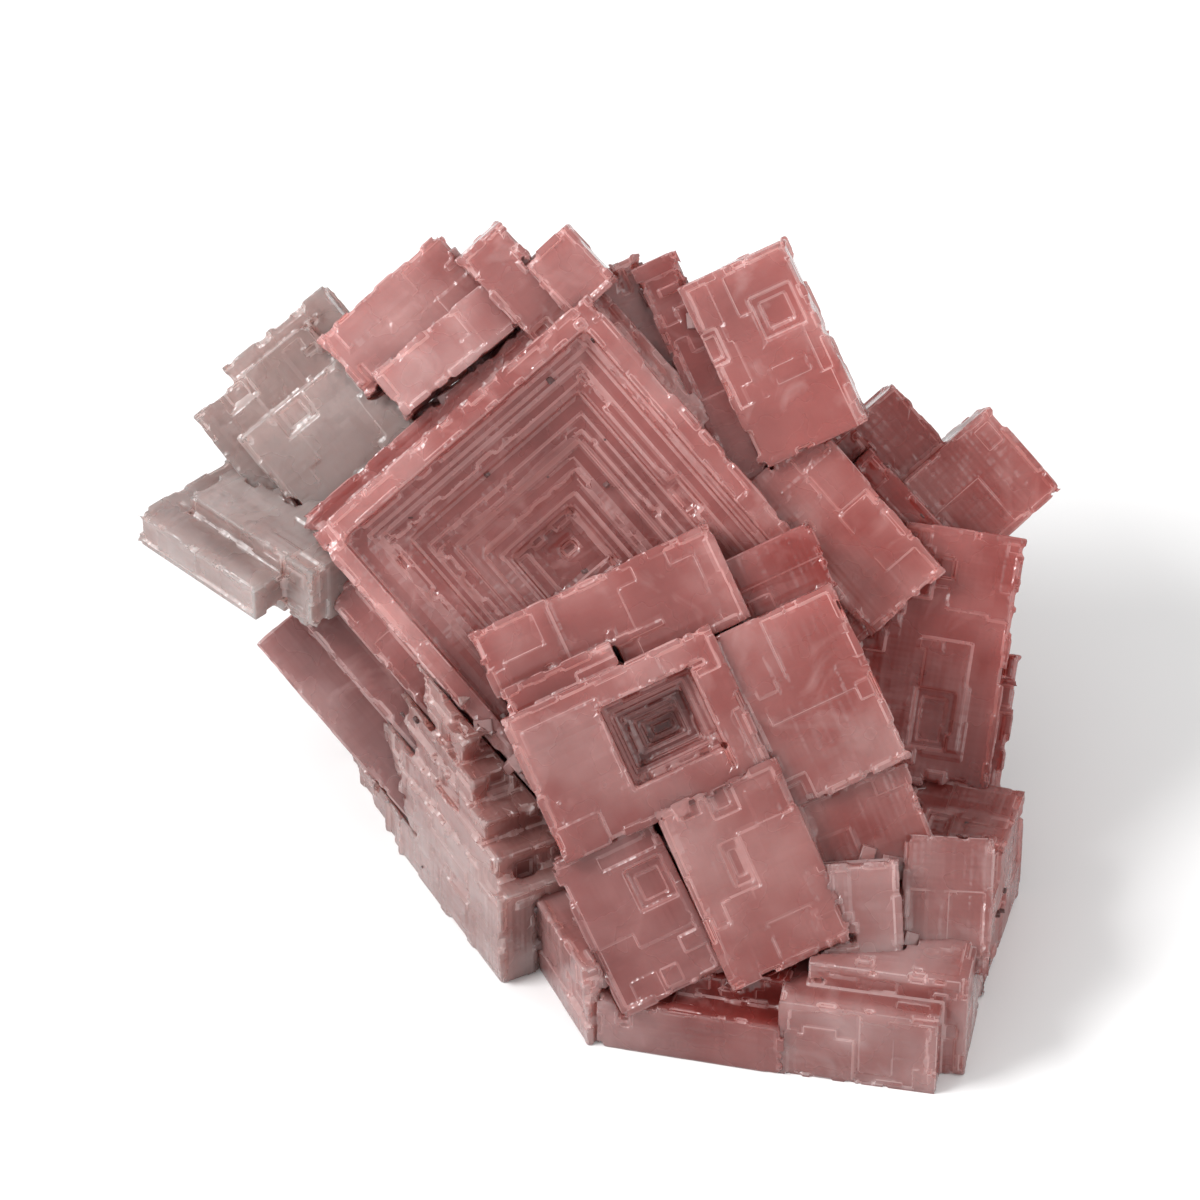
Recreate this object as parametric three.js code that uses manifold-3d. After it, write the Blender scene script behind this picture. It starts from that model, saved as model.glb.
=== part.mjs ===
// Pink halite: one loose cluster of intergrown cubic salt crystals, about 49 mm across.
//
// A cluster like this grows in warm brine.  The brine feeds a cube's edges faster than the middle of its
// faces, so each face sinks in square terraces: a hopper.  Here one large hopper crystal carries the rest.
// Thin plates grow out past its upper edges, blocky cubes cover the lower half of its face, and more cubes
// close the back.  The cluster was cleaved off its salt crust, so its underside is one flat plane.
//
// Units are millimetres, +Z is up, and the origin is on the resting plane under the middle of the cluster.

import * as THREE from "three";
import { mergeVertices } from "three/addons/utils/BufferGeometryUtils.js";
import Module from "manifold-3d";

const wasm = await Module();
wasm.setup();

// ---------------------------------------------------------------- driving dimensions

const SEAM = 0.3; // clear space between neighbouring crystals
const FACE_DIP = 50; // slope of the large hopper face above the resting plane, in degrees
const FACE_HEIGHT = 14.75; // height of the middle of that face
const FAR = 200; // larger than the cluster, for the cleavage plane

// Crystals that share a lattice have parallel edges.  The first four lattices lie in the plane of the large
// face, turned within it.  The last three stand square on the resting plane, turned about the vertical.
const HOPPER_TURN = 41;
const BLOCK_TURN = 25;
const FLANK_TURN = -9;
const CORNER_TURN = -5;
const REAR_TURN = 28;
const CRUST_TURN = -13;
const TIP_TURN = 45;

// A hopper pit: the flat rim round it, then square terraces going down and in.
const GREAT_PIT = { rim: 1.2, run: 1.7, drop: 0.85, terraces: 5 };
const SIDE_PIT = { rim: 2.2, run: 2.0, drop: 0.8, terraces: 3 };
const SMALL_PIT = { rim: 1.5, run: 0.8, drop: 1.0, terraces: 3 };
const BACK_PIT = { rim: 2.6, run: 1.8, drop: 0.9, terraces: 4 };

// ---------------------------------------------------------------- solids

function solidOf(geometry) {
  const bare = geometry.clone();
  bare.deleteAttribute("normal");
  bare.deleteAttribute("uv");
  const merged = mergeVertices(bare, 1e-4);
  return new wasm.Manifold(
    new wasm.Mesh({
      numProp: 3,
      vertProperties: new Float32Array(merged.attributes.position.array),
      triVerts: new Uint32Array(merged.index.array),
    }),
  );
}

function geometryOf(solid) {
  const { vertProperties, triVerts, numProp } = solid.getMesh();
  const geometry = new THREE.BufferGeometry();
  const places = new Float32Array((vertProperties.length / numProp) * 3);
  for (let i = 0; i < places.length / 3; i++) {
    places.set(vertProperties.subarray(i * numProp, i * numProp + 3), i * 3);
  }
  geometry.setAttribute("position", new THREE.BufferAttribute(places, 3));
  geometry.setIndex(new THREE.BufferAttribute(triVerts, 1));
  return geometry;
}

// A box between two corners, moved out by grow on every side.
function block(low, high, grow = 0) {
  const size = high.map((h, i) => h - low[i] + 2 * grow);
  const middle = high.map((h, i) => (h + low[i]) / 2);
  return solidOf(new THREE.BoxGeometry(...size).translate(...middle));
}

// The stepped hollow of a hopper pit in one side of a box, as a solid to be cut away.  side is "+z", "-x" and so on.
function pitIn(low, high, side, pit, shrink = 0) {
  const axis = "xyz".indexOf(side[1]);
  const outward = side[0] === "+" ? 1 : -1;
  const surface = outward > 0 ? high[axis] : low[axis];
  let hollow = null;
  for (let k = 0; k < pit.terraces; k++) {
    const inset = pit.rim + k * pit.run + shrink;
    const depth = (k + 1) * pit.drop - shrink;
    const from = low.map((v) => v + inset);
    const to = high.map((v) => v - inset);
    const floor = surface - outward * depth;
    const mouth = surface + outward * (1 + shrink);
    from[axis] = Math.min(floor, mouth);
    to[axis] = Math.max(floor, mouth);
    if (to.some((v, i) => v - from[i] < pit.run)) break;
    const step = block(from, to);
    hollow = hollow ? hollow.add(step) : step;
  }
  return hollow;
}

// A crystal as stacked blocks, less its pits.  A pit fills a side of its block, or of the box it is stated within.
// With grow it is the room that the crystal takes from others.
function crystalSolid({ blocks, pits = [] }, grow = 0) {
  let solid = null;
  for (const [low, high] of blocks) {
    const one = block(low, high, grow);
    solid = solid ? solid.add(one) : one;
  }
  for (const { of = 0, side, pit, within = blocks[of] } of pits) {
    const hollow = pitIn(...within, side, pit, grow);
    if (hollow) solid = solid.subtract(hollow);
  }
  return solid;
}

// ---------------------------------------------------------------- the cluster's frame

const cluster = new THREE.Group();
const face = new THREE.Group(); // its +Z stands out of the large hopper face, and its +Y runs up the slope
face.rotation.x = THREE.MathUtils.degToRad(FACE_DIP);
face.position.z = FACE_HEIGHT;
cluster.add(face);

function lattice(parent, turn) {
  const group = new THREE.Group();
  group.rotation.z = THREE.MathUtils.degToRad(turn);
  parent.add(group);
  return group;
}

const hopperLattice = lattice(face, HOPPER_TURN);
const blockLattice = lattice(face, BLOCK_TURN);
const flankLattice = lattice(face, FLANK_TURN);
const cornerLattice = lattice(face, CORNER_TURN);
const rearLattice = lattice(cluster, REAR_TURN);
const crustLattice = lattice(cluster, CRUST_TURN);
const tipLattice = lattice(cluster, TIP_TURN);

// ---------------------------------------------------------------- halite, by how much of the brine's pigment it holds

function halite(color, roughness) {
  return new THREE.MeshStandardMaterial({ color, roughness, metalness: 0 });
}

const ROSE = halite(0xb77b7a, 0.35); // the body colour
const DEEP = halite(0x8f4a48, 0.4); // thick, shaded crystals
const PALE = halite(0xcba19d, 0.45); // frosted cubes
const SMOKY = halite(0xa89692, 0.3); // thin plates, nearly clear

// ---------------------------------------------------------------- growing the crystals

// Crystals are stated in the order in which they claim their room: a later one is cut back by every earlier one.
const claimed = [];

function grow(name, parent, material, shape) {
  const [low, high] = shape.blocks[0];
  const centre = high.map((h, i) => (h + low[i]) / 2);
  const mesh = new THREE.Mesh(new THREE.BufferGeometry(), material);
  mesh.name = name;
  mesh.position.set(...centre);
  mesh.rotation.set(...(shape.tilt ?? [0, 0, 0]).map(THREE.MathUtils.degToRad));
  parent.add(mesh);
  cluster.updateMatrixWorld(true);

  const moved = (pair) => pair.map((corner) => corner.map((v, i) => v - centre[i]));
  const centred = {
    blocks: shape.blocks.map(moved),
    pits: (shape.pits ?? []).map((pit) => (pit.within ? { ...pit, within: moved(pit.within) } : pit)),
  };
  let solid = crystalSolid(centred).transform(mesh.matrixWorld.elements);
  for (const room of claimed) solid = solid.subtract(room);
  solid = solid.subtract(block([-FAR, -FAR, -FAR], [FAR, FAR, 0]));
  claimed.push(crystalSolid(centred, SEAM).transform(mesh.matrixWorld.elements));

  // What others leave of it as loose slivers breaks away.
  const largest = solid.decompose().sort((a, b) => b.volume() - a.volume())[0];
  const back = mesh.matrixWorld.clone().invert();
  mesh.geometry = geometryOf(largest.transform(back.elements));
}

// The blocky cubes over the lower half of the large face.  The pitted one has a small hopper of its own, set
// towards its right, and a narrow ledge seats them all against the large face.
grow("pitted_cube", blockLattice, ROSE, {
  blocks: [
    [[-5.2, -8.6, -3], [6.2, -0.9, 5]],
    [[-4.6, -3.6, -3], [1.4, 0.4, 3.9]],
  ],
  pits: [{ side: "+z", pit: SMALL_PIT, within: [[-2, -8.2, -3], [6, -0.9, 5]] }],
});
grow("right_cube", blockLattice, PALE, { blocks: [[[6.5, -11.2, -4], [12.8, -1.8, 4.4]]], tilt: [0, 3, 0] });
grow("lower_left_cube", blockLattice, DEEP, { blocks: [[[-5.6, -17.2, -3], [-0.4, -8.9, 4.2]]], tilt: [2, -6, 1] });
grow("lower_middle_cube", blockLattice, ROSE, { blocks: [[[-0.1, -18.6, -3], [6.2, -8.9, 5.4]]], tilt: [-2, 2, -1] });
grow("lower_right_cube", blockLattice, ROSE, { blocks: [[[6.5, -17.6, -5], [12.2, -11.5, 3.6]]], tilt: [2, 3, -3] });
grow("seat_ledge", blockLattice, ROSE, { blocks: [[[-4.6, -0.6, -3.5], [8.2, 3.6, 2.4]]] });
grow("right_step", blockLattice, DEEP, { blocks: [[[8.5, -3, -5], [12.9, 1.3, 1.2]]], tilt: [0, 4, 0] });

// Two small cubes at the lower right, over a frosted block that meets the resting plane.
grow("small_cube_inner", cornerLattice, PALE, { blocks: [[[13.4, -14.6, -3], [17, -9.2, 5.2]]], tilt: [4, 3, 8] });
grow("small_cube_outer", cornerLattice, PALE, { blocks: [[[17.7, -14.4, -3], [21.7, -8, 4.2]]], tilt: [-3, 4, 2] });
grow("corner_block", crustLattice, PALE, {
  blocks: [
    [[13.6, -13, -2], [21.4, -5.5, 5]],
    [[14.8, -11.6, -2], [22.6, -5.5, 6.4]],
  ],
  tilt: [0, 0, 2],
});
grow("right_foot", crustLattice, ROSE, { blocks: [[[15, -5.2, -2], [22.8, 3, 7.2]]], tilt: [0, 0, -3] });
grow("front_crust", crustLattice, DEEP, {
  blocks: [
    [[3.9, -13.4, -2], [13.3, -2, 3.4]],
    [[5.6, -12, -2], [13.3, -2, 5.2]],
  ],
});

// Plates past the upper left edge of the large crystal, from its apex down to the pointed tip, which lies flat.
grow("apex_cube", hopperLattice, ROSE, { blocks: [[[11.9, 15.1, -6], [14.4, 18.4, -0.5]]], tilt: [2, -3, 2] });
grow("apex_plate", hopperLattice, PALE, { blocks: [[[9.3, 15.2, -5], [11.7, 21, -1.2]]], tilt: [5, 0, 2] });
grow("bright_bar", hopperLattice, PALE, { blocks: [[[1.6, 16.8, -5.4], [9, 19, -1.8]]], tilt: [-3, 3, -2] });
grow("upper_left_plate", hopperLattice, ROSE, { blocks: [[[0.6, 19.2, -8], [8.9, 22.6, -3.6]]], tilt: [-3, 3, 1] });
grow("smoky_lobe", hopperLattice, SMOKY, {
  blocks: [
    [[-7.2, 16, -9.4], [0.4, 24, -5.8]],
    [[-4.6, 16.6, -9.4], [2, 25, -6.4]],
    [[-6, 15, -9.4], [1.4, 21.6, -4.8]],
  ],
  tilt: [0, -4, -2],
});
grow("smoky_tip", tipLattice, SMOKY, {
  blocks: [
    [[-10.4, 15, 15.8], [0, 23.8, 17.4]],
    [[-8.4, 13, 15.2], [0, 22, 18.4]],
  ],
});

// Bars and ledges past its upper right edge.
grow("upper_right_bar", blockLattice, PALE, { blocks: [[[13.5, 6.2, -9], [19, 16.2, -1.2]]], tilt: [3, -4, 0] });
grow("column_right", blockLattice, DEEP, { blocks: [[[11.4, 4, -9], [13.2, 18, -2.6]]] });
grow("column_left", blockLattice, ROSE, { blocks: [[[8.4, 8, -9], [11.1, 18.8, -3.4]]], tilt: [0, 3, -1] });
grow("right_ledge", hopperLattice, ROSE, { blocks: [[[12.8, -8.4, -7], [17.4, 1.4, -2.2]]] });
grow("right_shelf", hopperLattice, DEEP, { blocks: [[[14.4, -11, -9.4], [19.1, -1.6, -4.8]]], tilt: [0, -3, 2] });
grow("right_wing", hopperLattice, DEEP, {
  blocks: [
    [[15.6, -9.2, -14], [25.2, -3.6, -7.4]],
    [[15.6, -9.2, -13], [22.4, 0.4, -8.2]],
  ],
  tilt: [2, 3, 0],
});
grow("right_flank", flankLattice, DEEP, {
  blocks: [
    [[13, -8.4, -13], [22, 10, -3.6]],
    [[14, -7, -12], [22.8, 4, -5.6]],
  ],
  pits: [{ side: "+x", pit: SIDE_PIT }],
});

// The large hopper crystal: terraces of growth behind its pitted face.
grow("great_hopper", hopperLattice, ROSE, {
  blocks: [
    [[-6.6, -4.2, -4], [12.6, 14.8, 0]],
    [[-8.2, -8.4, -7], [13.5, 15.8, -2.4]],
    [[-10, -12.6, -14], [13.2, 16.2, -5]],
    [[-12.8, -5, -13], [4, 12.6, -7.6]],
  ],
  pits: [
    { side: "+z", pit: GREAT_PIT },
    { of: 2, side: "-z", pit: BACK_PIT },
  ],
});

// The left flank steps up from the front corner to the back, under the plates.
grow("left_foot", rearLattice, ROSE, { blocks: [[[-6.2, -12.4, -2], [3, -6, 5.4]]], tilt: [0, -3, -4] });
grow("left_flank", rearLattice, SMOKY, {
  blocks: [
    [[-8.4, -5.8, -2], [4, 6, 6.4]],
    [[-8.2, -4.6, -2], [4, 8, 8]],
    [[-8, -3.2, -2], [4, 10, 9.4]],
    [[-7.8, -1.6, -2], [4, 12, 10.8]],
    [[-7.6, 0, -2], [4, 13, 12.2]],
    [[-7.4, 1.6, -2], [4, 14, 13.6]],
  ],
});

// Cubes that close the back, standing on the resting plane.
grow("rear_foot", rearLattice, ROSE, {
  blocks: [[[-4, 6, -2], [9, 18, 9]]],
  pits: [{ side: "+y", pit: SIDE_PIT }],
});
grow("rear_right_cube", rearLattice, DEEP, {
  blocks: [[[8.4, -3, -2], [17, 10, 12.6]]],
  pits: [{ side: "+x", pit: SIDE_PIT }],
  tilt: [0, 6, -6],
});
grow("rear_left_cube", rearLattice, PALE, { blocks: [[[-6.4, 11.6, 8.2], [3.2, 21.4, 17]]], tilt: [6, 5, -8] });
grow("rear_upper_cube", rearLattice, ROSE, { blocks: [[[3.6, 10, 9.6], [12.4, 19.6, 18]]], tilt: [-14, 6, 10] });
grow("rear_small_cube", rearLattice, PALE, { blocks: [[[9.6, 9.6, -2], [14.6, 14.8, 6.4]]], tilt: [4, -8, 12] });

// Set the middle of the cluster's outline over the origin.
cluster.updateMatrixWorld(true);
const outline = new THREE.Box3().setFromObject(cluster, true);
const middle = outline.getCenter(new THREE.Vector3());
cluster.position.set(-middle.x, -middle.y, 0);

const part = new THREE.Group();
part.add(cluster);

export default part;
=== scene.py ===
import math

import bpy
import bmesh
import numpy as np
from mathutils import Matrix, Vector


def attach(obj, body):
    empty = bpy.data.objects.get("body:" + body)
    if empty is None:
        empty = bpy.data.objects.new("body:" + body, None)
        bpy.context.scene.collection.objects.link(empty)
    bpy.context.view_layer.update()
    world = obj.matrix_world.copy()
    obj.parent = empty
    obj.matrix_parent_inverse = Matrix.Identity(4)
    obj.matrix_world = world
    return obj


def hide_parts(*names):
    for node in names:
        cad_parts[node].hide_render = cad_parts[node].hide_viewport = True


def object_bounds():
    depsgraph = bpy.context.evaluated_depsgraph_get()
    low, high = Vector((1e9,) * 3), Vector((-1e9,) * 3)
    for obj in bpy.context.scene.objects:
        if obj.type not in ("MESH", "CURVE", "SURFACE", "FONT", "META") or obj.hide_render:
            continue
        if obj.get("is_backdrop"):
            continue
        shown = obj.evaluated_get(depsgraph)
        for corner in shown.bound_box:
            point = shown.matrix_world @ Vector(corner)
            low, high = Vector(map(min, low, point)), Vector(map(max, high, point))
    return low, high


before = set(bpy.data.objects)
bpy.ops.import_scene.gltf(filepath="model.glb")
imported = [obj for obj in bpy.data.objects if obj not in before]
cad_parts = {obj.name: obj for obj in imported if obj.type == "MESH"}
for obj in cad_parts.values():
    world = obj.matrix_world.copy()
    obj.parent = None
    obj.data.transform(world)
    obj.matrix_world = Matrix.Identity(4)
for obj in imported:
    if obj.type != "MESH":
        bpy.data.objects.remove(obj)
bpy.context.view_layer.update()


# ---- The large hopper crystal: rose salt that carries the rest of the cluster.  It grew fastest along its
# edges, so its face sinks in fine square steps.  Its growth and its salt serve every other crystal too.

MM = 0.001
FACE_DIP = math.radians(50)
FACE_OUT = (0, -math.sin(FACE_DIP), math.cos(FACE_DIP))
GROUND_SIDE = 300.0


def lattice_of(mesh, out):
    """The crystal axes of a solid as the rows of a turn: square on most faces, the third nearest to out."""
    towards = {}
    for face in mesh.polygons:
        normal = np.array(face.normal)
        normal *= np.sign(normal[np.abs(normal).argmax()])
        total, area = towards.get(tuple(np.round(normal, 2)), (np.zeros(3), 0.0))
        towards[tuple(np.round(normal, 2))] = (total + normal * face.area, area + face.area)
    ranked = sorted(towards.values(), key=lambda entry: -entry[1])
    directions = [total / np.linalg.norm(total) for total, area in ranked]
    first = directions[0]
    second = next(d for d in directions if abs(d @ first) < 0.02)
    second = second - first * (second @ first)
    second /= np.linalg.norm(second)
    axes = sorted([first, second, np.cross(first, second)], key=lambda axis: abs(axis @ np.array(out)))
    up = axes[2] * np.sign(axes[2] @ np.array(out))
    right = max(axes[:2], key=lambda axis: abs(axis[0]))
    right = right * np.sign(right[0])
    return np.array([right, np.cross(up, right), up])


def node_with(tree, kind, inputs=None, **settings):
    node = tree.nodes.new(kind)
    for key, value in settings.items():
        setattr(node, key, value)
    for key, value in (inputs or {}).items():
        for one in value if isinstance(value, list) else [value]:
            if isinstance(one, bpy.types.NodeSocket):
                tree.links.new(one, node.inputs[key])
            else:
                node.inputs[key].default_value = one
    return node


def calculate(tree, operation, *values):
    return node_with(tree, "ShaderNodeMath", dict(enumerate(values)), operation=operation).outputs[0]


def vectors(tree, operation, first, *second):
    inputs = {0: first}
    if second:
        inputs["Scale" if operation == "SCALE" else 1] = second[0]
    outputs = node_with(tree, "ShaderNodeVectorMath", inputs, operation=operation).outputs
    return outputs["Value" if operation == "DOT_PRODUCT" else "Vector"]


def same_on_all(tree, value):
    return node_with(tree, "ShaderNodeCombineXYZ", {"X": value, "Y": value, "Z": value}).outputs[0]


def largest_of(tree, vector):
    apart = node_with(tree, "ShaderNodeSeparateXYZ", {0: vector}).outputs
    return calculate(tree, "MAXIMUM", apart[0], calculate(tree, "MAXIMUM", apart[1], apart[2]))


def new_tree(name, inputs):
    """A Geometry Nodes tree with its named inputs, and the two ends of it."""
    tree = bpy.data.node_groups.new(name, "GeometryNodeTree")
    tree.interface.new_socket("Geometry", in_out="INPUT", socket_type="NodeSocketGeometry")
    tree.interface.new_socket("Geometry", in_out="OUTPUT", socket_type="NodeSocketGeometry")
    for label, kind, value in inputs:
        socket = tree.interface.new_socket(label, in_out="INPUT", socket_type="NodeSocket" + kind)
        if value is not None:
            socket.default_value = value
    return tree, tree.nodes.new("NodeGroupInput").outputs, tree.nodes.new("NodeGroupOutput")


def end_tree(tree, geometry, salt, result):
    solid = node_with(tree, "GeometryNodeRealizeInstances", {0: geometry}).outputs[0]
    finished = node_with(tree, "GeometryNodeSetMaterial", {"Geometry": solid, "Material": salt}).outputs[0]
    tree.links.new(finished, result.inputs[0])
    return tree


def salt_growth():
    """Growth layers on the faces, bars and notches on the edges, square pits, and the steps of a hopper."""
    tree, get, result = new_tree("salt growth", [
        ("Swell", "Float", 0.24),
        ("Layers per square mm", "Float", 0.12),
        ("Least layer", "Float", 0.8),
        ("Largest layer", "Float", 6.5),
        ("Layer rise", "Float", 0.2),
        ("Bar spacing", "Float", 1.1),
        ("Bar", "Float", 0.5),
        ("Notch spacing", "Float", 1.6),
        ("Notch", "Float", 0.45),
        ("Pits per square mm", "Float", 0.012),
        ("Pit", "Float", 2.6),
        ("Pit depth", "Float", 0.18),
        ("Hopper steps", "Int", 0),
        ("Hopper middle", "Vector", (0, 0, 0)),
        ("Hopper mouth", "Vector", (1, 1, 0)),
        ("Hopper first drop", "Float", 0.85),
        ("Hopper run", "Float", 0.5),
        ("Hopper drop", "Float", 0.26),
        ("Ground", "Vector", (0, 0, 0)),
        ("Up", "Vector", (0, 0, 1)),
        ("Seed", "Int", 1),
        ("Salt", "Material", None),
    ])
    cube = node_with(tree, "GeometryNodeMeshCube", {"Size": (1, 1, 1)}).outputs["Mesh"]

    def chance(low, high, salt):
        seed = calculate(tree, "ADD", get["Seed"], salt)
        return node_with(tree, "FunctionNodeRandomValue", {2: low, 3: high, "Seed": seed},
                         data_type="FLOAT").outputs[1]

    def chances(low, high, salt):
        seed = calculate(tree, "ADD", get["Seed"], salt)
        return node_with(tree, "FunctionNodeRandomValue", {0: (low,) * 3, 1: (high,) * 3, "Seed": seed},
                         data_type="FLOAT_VECTOR").outputs[0]

    def cubes(points, size):
        return node_with(tree, "GeometryNodeInstanceOnPoints",
                         {"Points": points, "Instance": cube, "Scale": size}).outputs[0]

    def solid(operation, bodies, first=None):
        inputs = {"Mesh 2": bodies} if first is None else {"Mesh 1": first, "Mesh 2": bodies}
        return node_with(tree, "GeometryNodeMeshBoolean", inputs,
                         operation=operation, solver="MANIFOLD").outputs[0]

    # The crystal a little larger, so that neighbours touch, and the outline that its layers stay in.
    box = node_with(tree, "GeometryNodeBoundBox", {0: get["Geometry"]}).outputs
    extent = vectors(tree, "SUBTRACT", box["Max"], box["Min"])

    def swollen(by):
        margin = same_on_all(tree, calculate(tree, "MULTIPLY", by, 2.0))
        scale = vectors(tree, "DIVIDE", vectors(tree, "ADD", extent, margin), extent)
        return node_with(tree, "GeometryNodeTransform", {
            "Geometry": get["Geometry"], "Scale": scale}).outputs[0]

    core = swollen(get["Swell"])
    outline = swollen(calculate(tree, "ADD", get["Swell"], get["Layer rise"]))

    def scattered(density, salt):
        """Points on the faces, with the axis that each face looks along and the two that lie in it."""
        points = node_with(tree, "GeometryNodeDistributePointsOnFaces", {
            "Mesh": core, "Density": density, "Seed": calculate(tree, "ADD", get["Seed"], salt)},
            distribute_method="RANDOM").outputs
        facing = vectors(tree, "ABSOLUTE", points["Normal"])
        return points["Points"], facing, vectors(tree, "SUBTRACT", (1, 1, 1), facing)

    def slabs(points, facing, across, width, thickness):
        return cubes(points, vectors(tree, "ADD", vectors(tree, "MULTIPLY", width, across),
                                     vectors(tree, "SCALE", facing, thickness)))

    places, facing, across = scattered(get["Layers per square mm"], 0)
    share = chances(0.0, 1.0, 1)
    reach = calculate(tree, "SUBTRACT", get["Largest layer"], get["Least layer"])
    width = vectors(tree, "ADD", vectors(tree, "SCALE", vectors(tree, "MULTIPLY", share, share), reach),
                    same_on_all(tree, get["Least layer"]))
    rise = calculate(tree, "MULTIPLY", get["Layer rise"], chance(0.3, 1.9, 2))
    layers = slabs(places, facing, across, width, rise)

    angle = node_with(tree, "GeometryNodeInputMeshEdgeAngle").outputs["Unsigned Angle"]
    edges = node_with(tree, "GeometryNodeMeshToCurve", {
        "Mesh": core, "Selection": calculate(tree, "GREATER_THAN", angle, 0.8)}).outputs[0]

    def along_edges(spacing, size, salt):
        strung = node_with(tree, "GeometryNodeCurveToPoints", {"Curve": edges, "Length": spacing},
                           mode="LENGTH").outputs
        slip = calculate(tree, "MULTIPLY", chance(-0.5, 0.5, salt), spacing)
        slipped = node_with(tree, "GeometryNodeSetPosition", {
            "Geometry": strung["Points"],
            "Offset": vectors(tree, "SCALE", strung["Tangent"], slip)}).outputs[0]
        kept = node_with(tree, "GeometryNodeCaptureAttribute", {"Geometry": slipped})
        kept.capture_items.new("VECTOR", "run")
        tree.links.new(vectors(tree, "ABSOLUTE", strung["Tangent"]), kept.inputs[1])
        stout = vectors(tree, "SCALE", chances(0.3, 1.0, salt + 1), size)
        length = calculate(tree, "MULTIPLY", chance(0.0, 3.0, salt + 2), size)
        long = vectors(tree, "SCALE", kept.outputs[1], length)
        return cubes(kept.outputs[0], vectors(tree, "ADD", stout, long))

    bars = along_edges(get["Bar spacing"], get["Bar"], 11)
    notches = along_edges(get["Notch spacing"], get["Notch"], 21)
    grown = solid("UNION", [core, solid("INTERSECT", [solid("UNION", [layers, bars]), outline])])

    # Shallow square pits, each with a smaller one in it.
    places, facing, across = scattered(get["Pits per square mm"], 5)
    width = vectors(tree, "SCALE", chances(0.35, 1.0, 31), get["Pit"])
    pits = []
    for narrower, deeper in ((1.0, 1.0), (0.64, 1.9)):
        depth = calculate(tree, "MULTIPLY", get["Pit depth"], 2 * deeper)
        pits.append(slabs(places, facing, across, vectors(tree, "SCALE", width, narrower), depth))

    # The steps of the hopper, each inside and below the last.
    index = node_with(tree, "GeometryNodeInputIndex").outputs[0]
    uneven = calculate(tree, "ADD", index, chance(-0.42, 0.42, 41))
    down = calculate(tree, "ADD", get["Hopper first drop"],
                     calculate(tree, "MULTIPLY", get["Hopper drop"], uneven))
    inset = calculate(tree, "MULTIPLY", calculate(tree, "MULTIPLY", get["Hopper run"], 2.0), index)
    taken = node_with(tree, "ShaderNodeCombineXYZ", {
        "X": inset, "Y": inset, "Z": calculate(tree, "MULTIPLY", down, -2.0)}).outputs[0]
    step_size = vectors(tree, "MAXIMUM", vectors(tree, "SUBTRACT", get["Hopper mouth"], taken), (0.01,) * 3)
    slack = vectors(tree, "SCALE", chances(-0.5, 0.5, 42), get["Hopper run"])
    astray = vectors(tree, "MULTIPLY", slack, (1, 1, 0))
    line = node_with(tree, "GeometryNodeMeshLine", {
        "Count": get["Hopper steps"], "Offset": (0, 0, 0)}).outputs[0]
    line = node_with(tree, "GeometryNodeSetPosition", {
        "Geometry": line, "Position": vectors(tree, "ADD", get["Hopper middle"], astray)}).outputs[0]
    steps = cubes(line, step_size)

    # The cleavage plane that the cluster rests on.
    below = node_with(tree, "GeometryNodeMeshCube", {"Size": (GROUND_SIDE,) * 3}).outputs["Mesh"]
    below = node_with(tree, "GeometryNodeTransform", {
        "Geometry": below, "Translation": (0, 0, -GROUND_SIDE / 2)}).outputs[0]
    level = node_with(tree, "FunctionNodeAlignRotationToVector", {"Vector": get["Up"]}, axis="Z").outputs[0]
    below = node_with(tree, "GeometryNodeTransform", {
        "Geometry": below, "Translation": get["Ground"], "Rotation": level}).outputs[0]

    carved = solid("DIFFERENCE", [notches, steps, below, *pits], first=grown)
    return end_tree(tree, carved, get["Salt"], result)


def salt_marks():
    """Keeps each point's place in the lattice, how far it is sunk in the crystal (the mask for painted shade
    in the hollows), and where it faces.
    """
    tree, get, result = new_tree("salt marks", [
        ("Deepest", "Float", 2.6), ("Seed", "Int", 1), ("Salt", "Material", None)])
    place = node_with(tree, "GeometryNodeInputPosition").outputs[0]
    normal = node_with(tree, "GeometryNodeInputNormal").outputs[0]
    box = node_with(tree, "GeometryNodeBoundBox", {0: get["Geometry"]}).outputs
    above = vectors(tree, "SUBTRACT", vectors(tree, "ABSOLUTE", place), box["Max"])
    below = calculate(tree, "MULTIPLY", largest_of(tree, above), -1.0)
    sunk = calculate(tree, "DIVIDE", below, get["Deepest"])
    shift = node_with(tree, "ShaderNodeCombineXYZ", {
        axis: calculate(tree, "MULTIPLY", get["Seed"], step)
        for axis, step in (("X", 7.3), ("Y", 3.2), ("Z", 5.7))})
    lattice = vectors(tree, "SCALE", vectors(tree, "ADD", place, shift.outputs[0]), MM)
    kept = get["Geometry"]
    for label, kind, domain, value in (("lattice", "FLOAT_VECTOR", "POINT", lattice),
                                       ("sunk", "FLOAT", "POINT", sunk),
                                       ("facing", "FLOAT_VECTOR", "FACE", normal)):
        kept = node_with(tree, "GeometryNodeStoreNamedAttribute", {
            "Geometry": kept, "Name": label, "Value": value}, data_type=kind, domain=domain).outputs[0]
    return end_tree(tree, kept, get["Salt"], result)


GROWTH = salt_growth()
MARKS = salt_marks()


def add_tree(piece, tree, values):
    modifier = piece.modifiers.new(tree.name, "NODES")
    modifier.node_group = tree
    for socket in tree.interface.items_tree:
        if socket.item_type == "SOCKET" and socket.in_out == "INPUT" and socket.name in values:
            modifier[socket.identifier] = values[socket.name]


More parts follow.
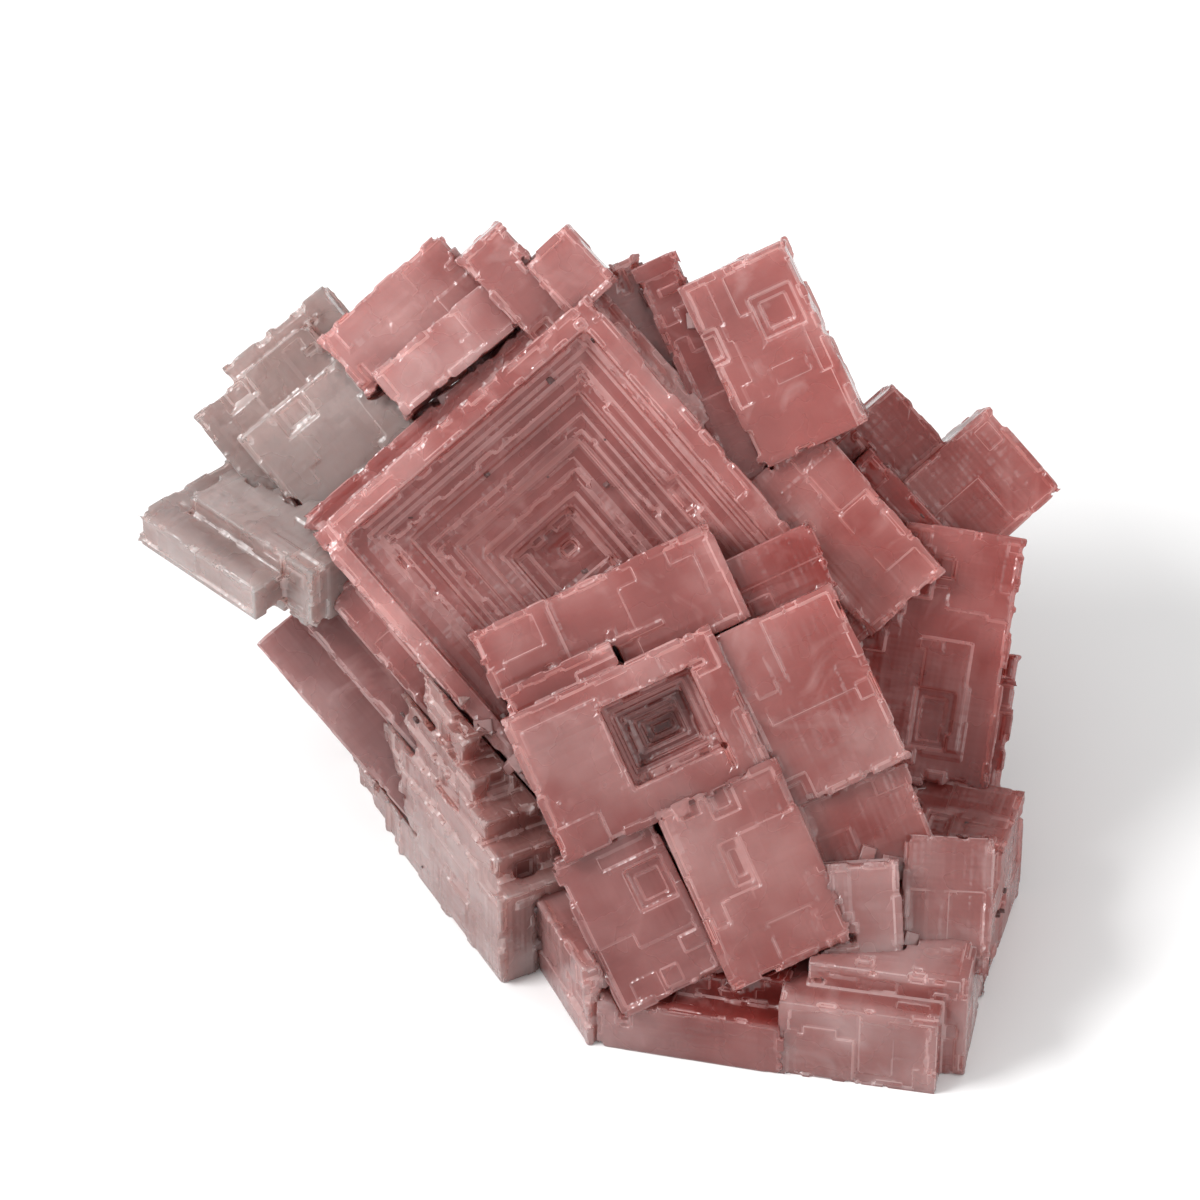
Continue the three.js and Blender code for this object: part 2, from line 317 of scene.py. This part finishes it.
def finished(rough, name, to_cluster, slot):
    """The piece that the modifiers make of a rough one, cut off flat where the cluster rests."""
    mesh = bpy.data.meshes.new_from_object(rough.evaluated_get(bpy.context.evaluated_depsgraph_get()))
    bpy.data.objects.remove(rough)
    mesh.transform(to_cluster)
    places = np.empty(len(mesh.vertices) * 3, np.float32)
    mesh.vertices.foreach_get("co", places)
    places[2::3] = np.maximum(places[2::3], 0)
    mesh.vertices.foreach_set("co", places)
    mesh.update()
    piece = bpy.data.objects.new(name, mesh)
    bpy.context.scene.collection.objects.link(piece)
    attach(piece, "root")
    return piece


def grow(node, slot, salt, seed, out=FACE_OUT, grain=0.11, deepest=2.6, **growth):
    """A finished crystal in place of a solid: out is where its hopper looks, grain its finest detail."""
    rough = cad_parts[node].data.copy()
    rough.materials.clear()
    cleaned = bmesh.new()
    cleaned.from_mesh(rough)
    bmesh.ops.remove_doubles(cleaned, verts=cleaned.verts, dist=1e-6)
    bmesh.ops.dissolve_limit(cleaned, angle_limit=0.01, verts=cleaned.verts, edges=cleaned.edges)
    cleaned.to_mesh(rough)
    cleaned.free()
    turn = Matrix(lattice_of(rough, out).tolist())
    corners = np.array([turn @ vertex.co for vertex in rough.vertices])
    middle = Vector((corners.max(0) + corners.min(0)) / 2)
    to_lattice = Matrix.Scale(1 / MM, 4) @ Matrix.Translation(-middle) @ turn.to_4x4()
    rough.transform(to_lattice)

    piece = bpy.data.objects.new(node + "_rough", rough)
    bpy.context.scene.collection.objects.link(piece)
    ground = tuple(to_lattice @ Vector((0, 0, 0)))
    upward = tuple(turn @ Vector((0, 0, 1)))
    add_tree(piece, GROWTH, {"Seed": seed, "Salt": salt, "Ground": ground, "Up": upward, **growth})
    body = piece.modifiers.new("one body", "REMESH")
    body.mode = "VOXEL"
    body.voxel_size = grain * 1
    body.adaptivity = 0.35 * grain
    add_tree(piece, MARKS, {"Seed": seed, "Salt": salt, "Deepest": deepest})
    crystal = finished(piece, node + "_crystal", to_lattice.inverted(), slot)
    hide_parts(node)


def salt_material(name, body, hollow_shade, edge, clear, density):
    """Halite: see-through, milky where brine is sealed in, with painted shade in its hollows, and frosted
    edges that also carry painted glints.
    """
    material = bpy.data.materials.new(name)
    material.use_nodes = True
    tree = material.node_tree
    surface = tree.nodes["Principled BSDF"]
    surface.inputs["IOR"].default_value = 1.544
    surface.inputs["Transmission Weight"].default_value = clear
    surface.subsurface_method = "BURLEY"
    surface.inputs["Subsurface Weight"].default_value = 0.8
    surface.inputs["Subsurface Radius"].default_value = (1.0, 0.5, 0.45)
    surface.inputs["Subsurface Scale"].default_value = 0.0018
    lattice = node_with(tree, "ShaderNodeAttribute", attribute_name="lattice").outputs["Vector"]
    facing = node_with(tree, "ShaderNodeAttribute", attribute_name="facing").outputs["Vector"]
    sunk = node_with(tree, "ShaderNodeAttribute", attribute_name="sunk").outputs["Fac"]

    def noise(scale, detail, distortion=0.0):
        return node_with(tree, "ShaderNodeTexNoise", {
            "Vector": lattice, "Scale": scale, "Detail": detail, "Distortion": distortion}).outputs[0]

    def mapped(value, low, high, new_low, new_high):
        return node_with(tree, "ShaderNodeMapRange", {
            "Value": value, "From Min": low, "From Max": high,
            "To Min": new_low, "To Max": new_high}).outputs[0]

    def mixed(share, first, second):
        return node_with(tree, "ShaderNodeMix", {0: share, 6: first, 7: second}, data_type="RGBA").outputs[2]

    # Painted shade darkens the hollows and leaves the outer faces paler, over random clouds of pigment.
    clouds = calculate(tree, "MULTIPLY", calculate(tree, "SUBTRACT", noise(150.0, 3.0), 0.5), 1.1)
    level = calculate(tree, "ADD", mapped(sunk, 0.08, 1.0, 0.62, 0.1), clouds)
    ramp = node_with(tree, "ShaderNodeValToRGB", {"Fac": level})
    stops = ramp.color_ramp.elements
    stops[0].position, stops[0].color = 0.1, (*hollow_shade, 1)
    stops[1].position, stops[1].color = 1.0, (*edge, 1)
    stops.new(0.52).color = (*body, 1)

    # Pale veils of brine, and pale frost on every edge that also paints the edges' glints.
    veils = mapped(noise(260.0, 3.0, 1.5), 0.56, 0.72, 0.0, 0.35)
    squareness = largest_of(tree, vectors(tree, "ABSOLUTE", facing))
    frost_and_glint = mapped(squareness, 0.97, 0.8, 0.0, 0.44)
    veiled = mixed(veils, ramp.outputs["Color"], (*edge, 1))
    rimmed = mixed(frost_and_glint, veiled, (*[1.15 * value + 0.1 for value in edge], 1))

    # The cluster took up least pigment at its lower left and most at its right. Its value is painted shade:
    # darker towards its foot, and a little darker towards the right.
    place = node_with(tree, "ShaderNodeTexCoord").outputs["Object"]
    across, upward, rising = (
        vectors(tree, "DOT_PRODUCT", place, way)
        for way in ((1.0, 0.0, 0.0), (0.0, 0.64, 0.77), (1.0, 0.45, 0.54)))
    pigment = calculate(tree, "ADD", mapped(rising, -0.0095, -0.0025, 0.78, 1.0),
                        mapped(across, 0.004, 0.012, 0.0, 0.15))
    light = calculate(tree, "MULTIPLY", mapped(across, 0.008, 0.018, 0.93, 0.88),
                      mapped(upward, 0.005, 0.012, 0.76, 1.0))
    tinted = node_with(tree, "ShaderNodeHueSaturation", {
        "Saturation": pigment, "Value": light, "Color": rimmed}).outputs[0]
    tree.links.new(tinted, surface.inputs["Base Color"])

    # Growth lines along the lattice, over broad shallow waves and a fine grain.
    apart = node_with(tree, "ShaderNodeSeparateXYZ", {0: lattice}).outputs
    lines = [node_with(tree, "ShaderNodeTexNoise", {"W": along, "Scale": 1900.0, "Detail": 1.0},
                       noise_dimensions="1D").outputs[0] for along in apart[:3]]
    lines = calculate(tree, "ADD", lines[0], calculate(tree, "ADD", lines[1], lines[2]))
    fine = noise(2400.0, 1.0)
    normal = None
    for height, strength, depth in (
            (noise(330.0, 1.0), 0.6, 0.0005), (lines, 0.3, 0.00016), (fine, 0.3, 0.00006)):
        inputs = {"Strength": strength, "Distance": depth, "Height": height}
        if normal:
            inputs["Normal"] = normal
        normal = node_with(tree, "ShaderNodeBump", inputs).outputs[0]
    tree.links.new(normal, surface.inputs["Normal"])
    worn = calculate(tree, "ADD", mapped(noise(420.0, 2.0), 0.35, 0.7, 0.12, 0.38),
                     calculate(tree, "MULTIPLY", frost_and_glint, 0.2))
    tree.links.new(worn, surface.inputs["Roughness"])

    inside = node_with(tree, "ShaderNodeVolumeAbsorption", {"Color": (*body, 1), "Density": density})
    tree.links.new(inside.outputs[0], tree.nodes["Material Output"].inputs["Volume"])
    return material


ROSE = salt_material(
    "rose salt", body=(0.29, 0.084, 0.077), hollow_shade=(0.165, 0.034, 0.03), edge=(0.54, 0.29, 0.275),
    clear=0.16, density=40)
grow("great_hopper", "rose_halite", ROSE, 3, grain=0.155, deepest=5.2, **{
    "Layers per square mm": 0.05, "Largest layer": 9.0, "Pits per square mm": 0.003,
    "Hopper steps": 15, "Hopper middle": (2.65, 3.5, 7.0), "Hopper mouth": (16.8, 16.6, 0.0),
    "Hopper first drop": 0.85, "Hopper run": 0.567, "Hopper drop": 0.283,
})


# ---- The blocky cubes over the lower half of the large face: rose, pale and deep salt, each grown at its own
# tilt and fused to its neighbours.  The pitted one has a small hopper of its own.

PALE = salt_material(
    "pale salt", body=(0.335, 0.118, 0.11), hollow_shade=(0.2, 0.055, 0.05), edge=(0.58, 0.37, 0.355),
    clear=0.16, density=35)
DEEP = salt_material(
    "deep salt", body=(0.225, 0.047, 0.042), hollow_shade=(0.12, 0.02, 0.018), edge=(0.46, 0.21, 0.2),
    clear=0.16, density=60)
grow("pitted_cube", "rose_halite", ROSE, 11, **{
    "Hopper steps": 8, "Hopper middle": (1.5, -0.45, 4.0), "Hopper mouth": (5.0, 4.3, 0.0),
    "Hopper first drop": 0.9, "Hopper run": 0.27, "Hopper drop": 0.33,
})
grow("seat_ledge", "rose_halite", ROSE, 12, Swell=0.5)
grow("lower_middle_cube", "rose_halite", ROSE, 13)
grow("lower_right_cube", "rose_halite", ROSE, 14)
grow("right_cube", "pale_halite", PALE, 15)
grow("lower_left_cube", "deep_halite", DEEP, 16)
grow("right_step", "deep_halite", DEEP, 17, Swell=0.55)


# ---- The lower right corner: two small cubes over a frosted block, and the crust that the cluster stands on.
# This halite grew late and fast, took in air and brine, and is milky.  It is fused to the cubes above.

FROSTED = salt_material(
    "frosted salt", body=(0.345, 0.15, 0.142), hollow_shade=(0.21, 0.07, 0.065), edge=(0.6, 0.42, 0.41),
    clear=0.16, density=35)
grow("small_cube_inner", "pale_halite", FROSTED, 21, **{"Bar spacing": 0.7, "Pits per square mm": 0.0})
grow("small_cube_outer", "pale_halite", FROSTED, 22, **{"Bar spacing": 0.7, "Pits per square mm": 0.0})
grow("corner_block", "pale_halite", FROSTED, 23, **{
    "Bar spacing": 0.6, "Bar": 0.8, "Layers per square mm": 0.35, "Largest layer": 4.0})
grow("right_foot", "rose_halite", ROSE, 24)
# The crust under the overhang takes the deep salt, partly as painted shade where the overhang's shadow falls.
grow("front_crust", "deep_halite", DEEP, 25)


# ---- Thin plates past the upper left edge of the large crystal: halite that grew out sideways and is fused
# to its side.  The last two are smoky and nearly clear, and the tip lies flat.

SMOKY = salt_material(
    "smoky salt", body=(0.36, 0.25, 0.23), hollow_shade=(0.2, 0.115, 0.1), edge=(0.52, 0.43, 0.41),
    clear=0.4, density=25)
grow("apex_cube", "rose_halite", ROSE, 31)
grow("apex_plate", "pale_halite", PALE, 32)
grow("bright_bar", "pale_halite", PALE, 33)
grow("upper_left_plate", "rose_halite", ROSE, 34)
grow("smoky_lobe", "smoky_halite", SMOKY, 35)
grow("smoky_tip", "smoky_halite", SMOKY, 36)


# ---- Bars and ledges past its upper right edge, in rose and deep salt, down to the deep red flank.  Each is
# a block of halite that grew outwards, fused along its inner side.

grow("upper_right_bar", "pale_halite", PALE, 41)
grow("column_right", "deep_halite", DEEP, 42)
grow("column_left", "rose_halite", ROSE, 43)
grow("right_ledge", "rose_halite", ROSE, 44)
grow("right_shelf", "deep_halite", DEEP, 45)
grow("right_wing", "deep_halite", ROSE, 46)
# The flank turned away to the right takes the deep salt, partly as painted shade on that side.
grow("right_flank", "deep_halite", DEEP, 47, out=(0.988, -0.1, -0.12))


# ---- The left flank: dull smoky salt that steps up from the front corner to the back, under the plates.  It
# is one body of stacked growth layers, and a rose foot closes it on the left.

FLANK = salt_material(
    "dull salt", body=(0.35, 0.153, 0.138), hollow_shade=(0.22, 0.083, 0.073), edge=(0.55, 0.37, 0.35),
    clear=0.2, density=30)
grow("left_foot", "rose_halite", ROSE, 51)
grow("left_flank", "smoky_halite", FLANK, 52, grain=0.13)


# ---- Cubes that close the back: rose, pale and deep halite, each grown at its own tilt and fused to the
# large crystal.  They reach down to the resting plane, where the crust under them broke off flat.

grow("rear_foot", "rose_halite", ROSE, 61)
grow("rear_right_cube", "deep_halite", DEEP, 62)
grow("rear_left_cube", "pale_halite", PALE, 63)
grow("rear_upper_cube", "rose_halite", ROSE, 64)
grow("rear_small_cube", "pale_halite", PALE, 65)


# ---- The druse: small salt cubes that grew last, from the brine that stayed in the corners where two
# crystals meet.  Each sits fast on the crystal under it.

def druse():
    """Small cubes on a body's faces, only where another face stands close by."""
    tree, get, result = new_tree("druse", [
        ("Cubes per square mm", "Float", 1.2),
        ("Least cube", "Float", 0.3),
        ("Largest cube", "Float", 1.1),
        ("Reach", "Float", 0.8),
        ("Seed", "Int", 1),
        ("Salt", "Material", None),
    ])
    one = node_with(tree, "GeometryNodeMeshCube", {"Size": (1, 1, 1)}).outputs["Mesh"]
    points = node_with(tree, "GeometryNodeDistributePointsOnFaces", {
        "Mesh": get["Geometry"], "Density": get["Cubes per square mm"], "Seed": get["Seed"]},
        distribute_method="RANDOM").outputs
    place = node_with(tree, "GeometryNodeInputPosition").outputs[0]
    owner = node_with(tree, "GeometryNodeInputNamedAttribute", {"Name": "owner"},
                      data_type="FLOAT").outputs[0]

    def chances(low, high, salt):
        return node_with(tree, "FunctionNodeRandomValue", {
            0: (low,) * 3, 1: (high,) * 3, "Seed": calculate(tree, "ADD", get["Seed"], salt)},
            data_type="FLOAT_VECTOR").outputs[0]

    def meets(start, direction, length):
        return node_with(tree, "GeometryNodeRaycast", {
            "Target Geometry": get["Geometry"], "Attribute": owner,
            "Ray Direction": direction, "Ray Length": length,
            "Source Position": vectors(tree, "ADD", place, vectors(tree, "SCALE", points["Normal"], start)),
        }, data_type="FLOAT").outputs

    outwards = vectors(tree, "SCALE", points["Normal"], 0.1)
    near = meets(0.45, vectors(tree, "ADD", outwards, chances(-1.0, 1.0, 1)), get["Reach"])
    other = calculate(tree, "GREATER_THAN", calculate(
        tree, "ABSOLUTE", calculate(tree, "SUBTRACT", near["Attribute"], owner)), 0.5)
    buried = meets(0.02, points["Normal"], 0.6)["Is Hit"]
    free = node_with(tree, "FunctionNodeBooleanMath", {0: near["Is Hit"], 1: buried},
                     operation="NIMPLY").outputs[0]
    wanted = node_with(tree, "FunctionNodeBooleanMath", {0: free, 1: other}, operation="AND").outputs[0]
    share = node_with(tree, "FunctionNodeRandomValue", {"Seed": calculate(tree, "ADD", get["Seed"], 2)},
                      data_type="FLOAT").outputs[1]
    reach = calculate(tree, "SUBTRACT", get["Largest cube"], get["Least cube"])
    side = calculate(tree, "ADD", get["Least cube"], calculate(
        tree, "MULTIPLY", calculate(tree, "POWER", share, 3.0), reach))
    size = vectors(tree, "SCALE", chances(0.8, 1.2, 3), side)
    spin = node_with(tree, "FunctionNodeEulerToRotation", {0: vectors(
        tree, "MULTIPLY", chances(-1.0, 1.0, 4), (0.2, 0.2, 3.1416))}).outputs[0]
    turned = node_with(tree, "FunctionNodeRotateRotation", {
        "Rotation": points["Rotation"], "Rotate By": spin}, rotation_space="LOCAL").outputs[0]
    sown = node_with(tree, "GeometryNodeInstanceOnPoints", {
        "Points": points["Points"], "Selection": wanted, "Instance": one, "Rotation": turned, "Scale": size})
    return end_tree(tree, sown.outputs[0], get["Salt"], result)


def sow(name, tree, salt, slot, seed):
    """Small cubes from a tree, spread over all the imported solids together, as one piece."""
    together = bmesh.new()
    owner = together.faces.layers.float.new("owner")
    for number, node in enumerate(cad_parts.values()):
        known = len(together.faces)
        together.from_mesh(node.data)
        together.faces.ensure_lookup_table()
        for face in together.faces[known:]:
            face[owner] = number
    together.transform(Matrix.Scale(1 / MM, 4))
    mesh = bpy.data.meshes.new(name)
    together.to_mesh(mesh)
    together.free()
    rough = bpy.data.objects.new(name + "_rough", mesh)
    bpy.context.scene.collection.objects.link(rough)
    add_tree(rough, tree, {"Seed": seed, "Salt": salt})
    worn = rough.modifiers.new("worn edges", "BEVEL")
    worn.width = 0.04
    worn.segments = 1
    add_tree(rough, MARKS, {"Seed": seed, "Salt": salt, "Deepest": 100.0})
    finished(rough, name, Matrix.Scale(MM, 4), slot)


sow("druse_cubes", druse(), ROSE, "rose_halite", 71)


# ---- Sealed brine: square pockets just under the faces, left where a hopper grew shut over the brine.  They
# show through the clearer salt as small dark marks.

def brine_pockets():
    """Small square pockets, a little way in from a body's faces."""
    tree, get, result = new_tree("brine pockets", [
        ("Pockets per square mm", "Float", 0.12),
        ("Least depth", "Float", 0.5),
        ("Greatest depth", "Float", 1.3),
        ("Largest pocket", "Float", 0.4),
        ("Seed", "Int", 1),
        ("Salt", "Material", None),
    ])
    points = node_with(tree, "GeometryNodeDistributePointsOnFaces", {
        "Mesh": get["Geometry"], "Density": get["Pockets per square mm"], "Seed": get["Seed"]},
        distribute_method="RANDOM").outputs
    depth = node_with(tree, "FunctionNodeRandomValue", {
        2: get["Least depth"], 3: get["Greatest depth"], "Seed": get["Seed"]}, data_type="FLOAT").outputs[1]
    inward = vectors(tree, "SCALE", points["Normal"], calculate(tree, "MULTIPLY", depth, -1.0))
    sunk = node_with(tree, "GeometryNodeSetPosition", {
        "Geometry": points["Points"], "Offset": inward}).outputs[0]
    share = node_with(tree, "FunctionNodeRandomValue", {
        0: (0.25, 0.25, 0.25), 1: (1.0, 1.0, 1.0), "Seed": calculate(tree, "ADD", get["Seed"], 1)},
        data_type="FLOAT_VECTOR").outputs[0]
    cube = node_with(tree, "GeometryNodeMeshCube", {"Size": (1, 1, 1)}).outputs["Mesh"]
    pockets = node_with(tree, "GeometryNodeInstanceOnPoints", {
        "Points": sunk, "Instance": cube, "Rotation": points["Rotation"],
        "Scale": vectors(tree, "SCALE", share, get["Largest pocket"])}).outputs[0]
    return end_tree(tree, pockets, get["Salt"], result)


BRINE = salt_material(
    "sealed brine", body=(0.1, 0.025, 0.02), hollow_shade=(0.06, 0.012, 0.01), edge=(0.16, 0.05, 0.045),
    clear=0.0, density=60)
sow("brine_pockets", brine_pockets(), BRINE, "deep_halite", 81)


# ---- Floor, light and camera: white paper under two soft lights, seen from the front and above.  A white
# world around it keeps the shadows pale.

floor_mesh = bpy.data.meshes.new("floor")
floor_mesh.from_pydata([(-2, -2, 0), (2, -2, 0), (2, 2, 0), (-2, 2, 0)], [], [(0, 1, 2, 3)])
floor = bpy.data.objects.new("floor", floor_mesh)
bpy.context.scene.collection.objects.link(floor)
paper = bpy.data.materials.new("paper")
paper.use_nodes = True
paper.node_tree.nodes["Principled BSDF"].inputs["Base Color"].default_value = (0.86, 0.86, 0.86, 1)
paper.node_tree.nodes["Principled BSDF"].inputs["Roughness"].default_value = 0.6
floor_mesh.materials.append(paper)
floor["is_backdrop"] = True

world = bpy.data.worlds.new("studio")
bpy.context.scene.world = world
world.use_nodes = True
world.node_tree.nodes["Background"].inputs["Color"].default_value = (1, 1, 1, 1)
world.node_tree.nodes["Background"].inputs["Strength"].default_value = 0.75


def softbox(name, place, aim, size, power):
    light = bpy.data.lights.new(name, "AREA")
    light.size = size
    light.energy = power
    lamp = bpy.data.objects.new(name, light)
    bpy.context.scene.collection.objects.link(lamp)
    lamp.location = place
    lamp.rotation_euler = (Vector(aim) - Vector(place)).to_track_quat("-Z", "Y").to_euler()


low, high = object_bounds()
middle = (Vector(low) + Vector(high)) / 2
softbox("key", (-0.34, -0.1, 0.34), middle, 0.2, 2.45)
softbox("fill", (0.4, -0.3, 0.3), middle, 0.4, 1.0)

ELEVATION = math.radians(40)
DISTANCE = 0.36
camera_data = bpy.data.cameras.new("camera")
camera_data.lens = 200
camera_data.clip_start = 0.01
camera = bpy.data.objects.new("camera", camera_data)
bpy.context.scene.collection.objects.link(camera)
towards = Vector((0, -math.cos(ELEVATION), math.sin(ELEVATION)))
camera.location = middle + towards * DISTANCE
camera.rotation_euler = (-towards).to_track_quat("-Z", "Y").to_euler()
bpy.context.scene.camera = camera
bpy.context.scene.view_settings.view_transform = "Standard"
